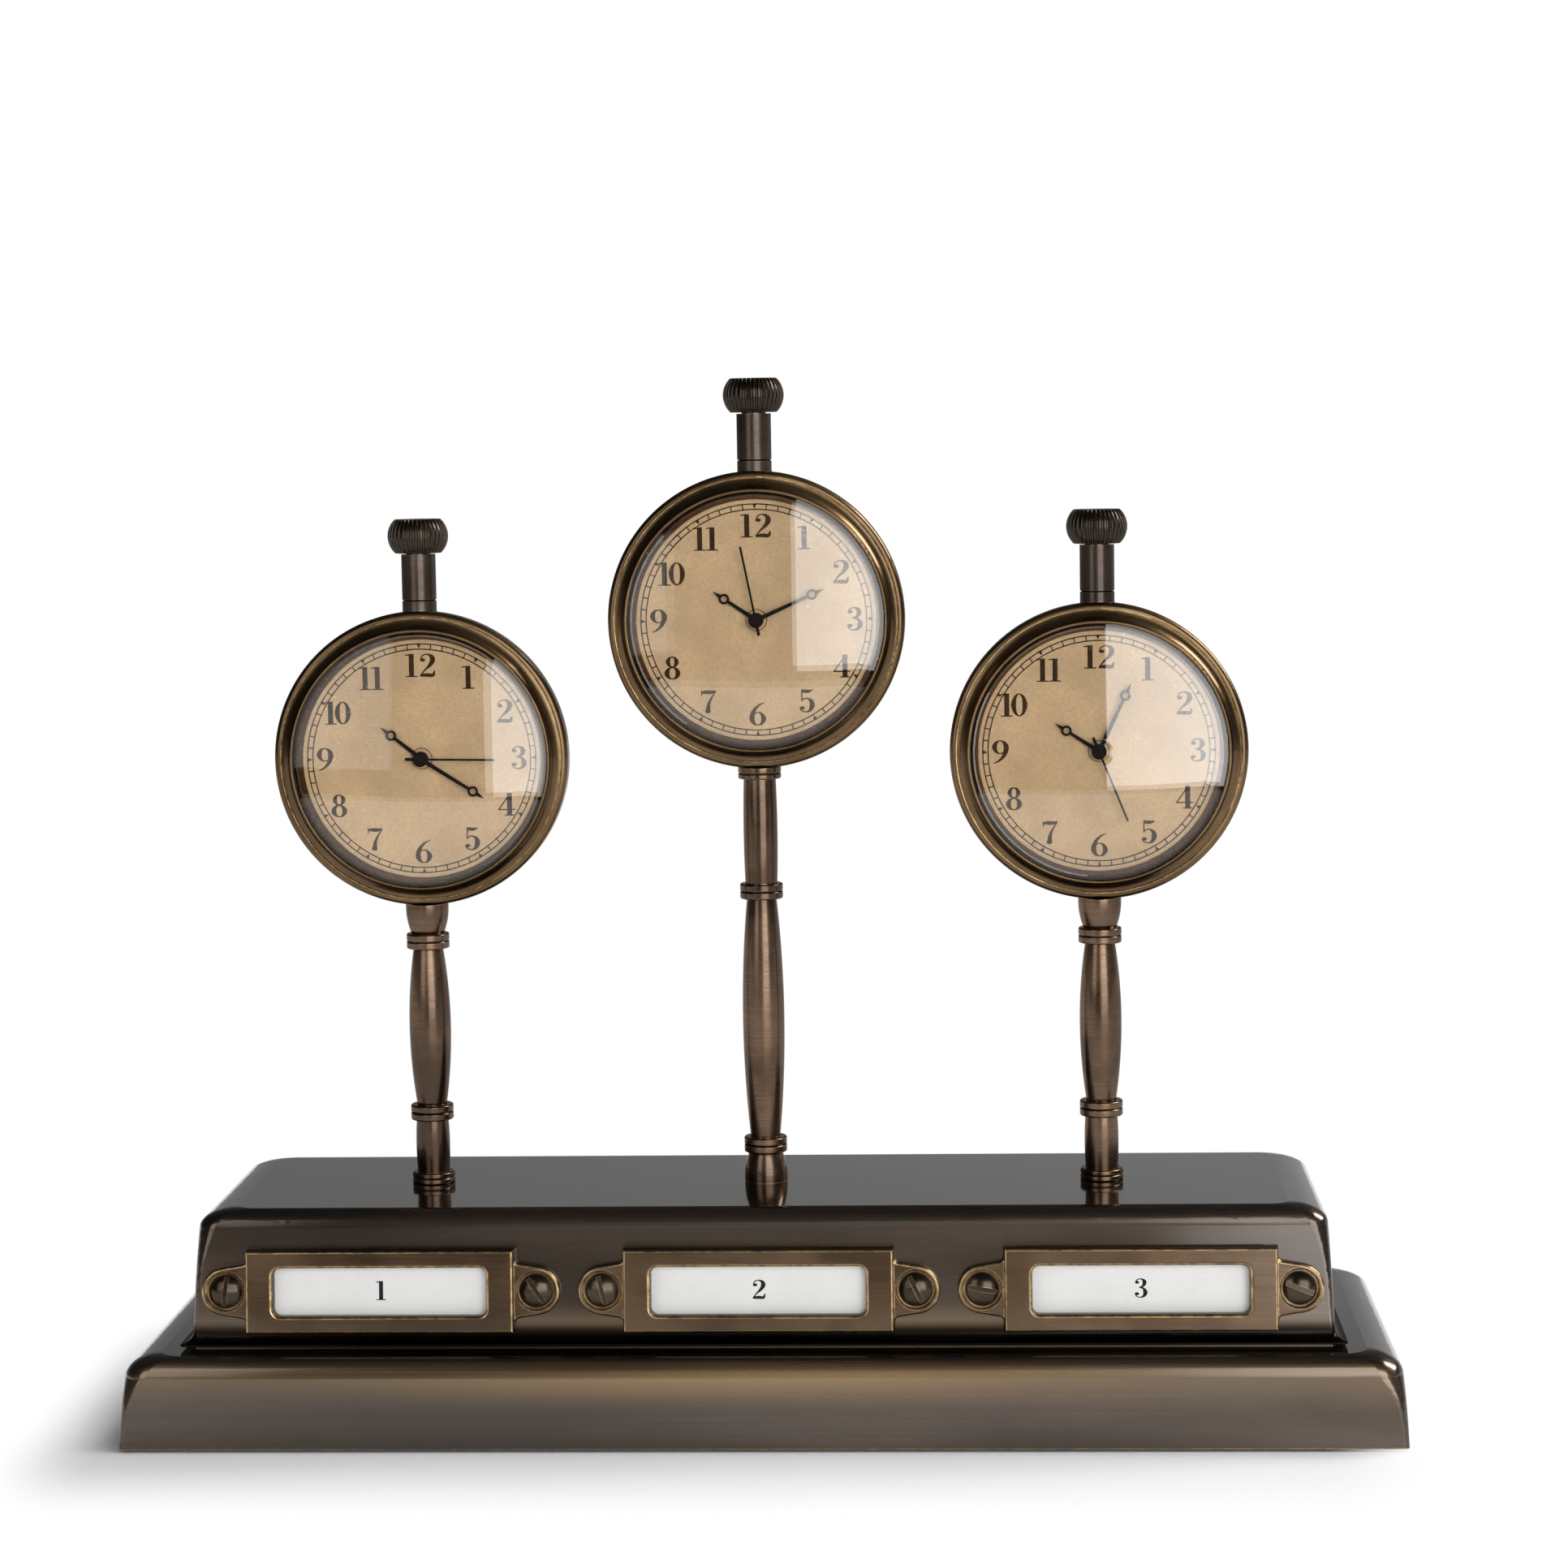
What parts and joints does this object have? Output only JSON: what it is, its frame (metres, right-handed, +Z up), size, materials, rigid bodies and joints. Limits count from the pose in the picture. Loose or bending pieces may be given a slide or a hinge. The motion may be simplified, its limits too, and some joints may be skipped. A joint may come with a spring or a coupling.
{
  "type": "world time clock",
  "caption": "Desk clock for several time zones: pocket-watch style dials on turned stems over a stepped bronze base with screwed label holders.",
  "frame": {"origin": "middle of the felt foot, on the surface that the clock stands on", "axes": "+X along the base to the viewer's right, -Y towards the viewer, +Z up"},
  "size_m": [0.31, 0.1, 0.2561],
  "materials": {
    "base_bronze": "dark bronze patina, brushed along its length under clear lacquer",
    "stem_bronze": "turned dark bronze with worn golden edges, lacquered",
    "watch_bronze": "turned dark bronze with golden ridges, lacquered",
    "frame_brass": "antique brass, brushed, with bright worn edges",
    "screw_bronze": "dark antique bronze",
    "crystal_glass": "clear polished domed glass",
    "dial_paper": "aged tan paper with a fine weave and dark brown print",
    "hand_black": "black lacquer, half gloss",
    "card_white": "matt white card",
    "felt": "black felt",
    "steel": "zinc plated steel",
    "movement_plastic": "black moulded plastic",
    "cell_steel": "nickel plated steel"
  },
  "bodies": {
    "stand": {"lower_plinth": "base_bronze", "upper_plinth": "base_bronze", "base_plate": "steel", "felt_pad": "felt", "plate_screws": "steel", "label_screws": "screw_bronze", "tie_rods": "steel", "rod_nuts": "steel", "button_cells": "cell_steel", "left_label_frame": "frame_brass", "left_stem_tube": "stem_bronze", "left_stem_baluster": "stem_bronze", "left_stem_cone": "stem_bronze", "left_case": "watch_bronze", "left_bezel": "watch_bronze", "left_back_cover": "watch_bronze", "left_pendant": "watch_bronze", "left_crystal": "crystal_glass", "left_dial": "dial_paper", "left_movement": "movement_plastic", "centre_label_frame": "frame_brass", "centre_stem_tube": "stem_bronze", "centre_stem_baluster": "stem_bronze", "centre_stem_cone": "stem_bronze", "centre_case": "watch_bronze", "centre_bezel": "watch_bronze", "centre_back_cover": "watch_bronze", "centre_pendant": "watch_bronze", "centre_crystal": "crystal_glass", "centre_dial": "dial_paper", "centre_movement": "movement_plastic", "right_label_frame": "frame_brass", "right_stem_tube": "stem_bronze", "right_stem_baluster": "stem_bronze", "right_stem_cone": "stem_bronze", "right_case": "watch_bronze", "right_bezel": "watch_bronze", "right_back_cover": "watch_bronze", "right_pendant": "watch_bronze", "right_crystal": "crystal_glass", "right_dial": "dial_paper", "right_movement": "movement_plastic"},
    "left_card": {"left_label_card": "card_white"},
    "left_crown": {"left_crown": "watch_bronze"},
    "left_setting": {"left_setting_lever": "steel"},
    "left_hour": {"left_hour_hand": "hand_black"},
    "left_minute": {"left_minute_hand": "hand_black"},
    "left_second": {"left_second_hand": "hand_black"},
    "centre_card": {"centre_label_card": "card_white"},
    "centre_crown": {"centre_crown": "watch_bronze"},
    "centre_setting": {"centre_setting_lever": "steel"},
    "centre_hour": {"centre_hour_hand": "hand_black"},
    "centre_minute": {"centre_minute_hand": "hand_black"},
    "centre_second": {"centre_second_hand": "hand_black"},
    "right_card": {"right_label_card": "card_white"},
    "right_crown": {"right_crown": "watch_bronze"},
    "right_setting": {"right_setting_lever": "steel"},
    "right_hour": {"right_hour_hand": "hand_black"},
    "right_minute": {"right_minute_hand": "hand_black"},
    "right_second": {"right_second_hand": "hand_black"}
  },
  "joints": [
    {"name": "left_card_lift", "type": "slide", "parent": "stand", "child": "left_card", "axis": [0, 0.0975, 0.9952], "range_m": [0, 0.018]},
    {"name": "left_crown_pull", "type": "slide", "parent": "stand", "child": "left_setting", "axis": [0, 0, 1], "range_m": [0, 0.0015]},
    {"name": "left_crown_turn", "type": "hinge", "parent": "left_setting", "child": "left_crown", "pos_m": [-0.084, 0, 0.1633], "axis": [0, 0, 1], "continuous": true},
    {"name": "left_minute_turn", "type": "hinge", "parent": "stand", "child": "left_minute", "pos_m": [-0.084, 0, 0.1633], "axis": [0, 1, 0], "continuous": true},
    {"name": "left_hour_turn", "type": "hinge", "parent": "stand", "child": "left_hour", "pos_m": [-0.084, 0, 0.1633], "axis": [0, 1, 0], "continuous": true},
    {"name": "left_second_turn", "type": "hinge", "parent": "stand", "child": "left_second", "pos_m": [-0.084, 0, 0.1633], "axis": [0, 1, 0], "continuous": true},
    {"name": "centre_card_lift", "type": "slide", "parent": "stand", "child": "centre_card", "axis": [0, 0.0975, 0.9952], "range_m": [0, 0.018]},
    {"name": "centre_crown_pull", "type": "slide", "parent": "stand", "child": "centre_setting", "axis": [0, 0, 1], "range_m": [0, 0.0015]},
    {"name": "centre_crown_turn", "type": "hinge", "parent": "centre_setting", "child": "centre_crown", "pos_m": [0, 0, 0.1967], "axis": [0, 0, 1], "continuous": true},
    {"name": "centre_minute_turn", "type": "hinge", "parent": "stand", "child": "centre_minute", "pos_m": [0, 0, 0.1967], "axis": [0, 1, 0], "continuous": true},
    {"name": "centre_hour_turn", "type": "hinge", "parent": "stand", "child": "centre_hour", "pos_m": [0, 0, 0.1967], "axis": [0, 1, 0], "continuous": true},
    {"name": "centre_second_turn", "type": "hinge", "parent": "stand", "child": "centre_second", "pos_m": [0, 0, 0.1967], "axis": [0, 1, 0], "continuous": true},
    {"name": "right_card_lift", "type": "slide", "parent": "stand", "child": "right_card", "axis": [0, 0.0975, 0.9952], "range_m": [0, 0.018]},
    {"name": "right_crown_pull", "type": "slide", "parent": "stand", "child": "right_setting", "axis": [0, 0, 1], "range_m": [0, 0.0015]},
    {"name": "right_crown_turn", "type": "hinge", "parent": "right_setting", "child": "right_crown", "pos_m": [0.084, 0, 0.1633], "axis": [0, 0, 1], "continuous": true},
    {"name": "right_minute_turn", "type": "hinge", "parent": "stand", "child": "right_minute", "pos_m": [0.084, 0, 0.1633], "axis": [0, 1, 0], "continuous": true},
    {"name": "right_hour_turn", "type": "hinge", "parent": "stand", "child": "right_hour", "pos_m": [0.084, 0, 0.1633], "axis": [0, 1, 0], "continuous": true},
    {"name": "right_second_turn", "type": "hinge", "parent": "stand", "child": "right_second", "pos_m": [0.084, 0, 0.1633], "axis": [0, 1, 0], "continuous": true}
  ],
  "couplings": [
    {"joint": "left_hour_turn", "follows": "left_minute_turn", "ratio": 0.083333},
    {"joint": "centre_hour_turn", "follows": "centre_minute_turn", "ratio": 0.083333},
    {"joint": "right_hour_turn", "follows": "right_minute_turn", "ratio": 0.083333}
  ]
}
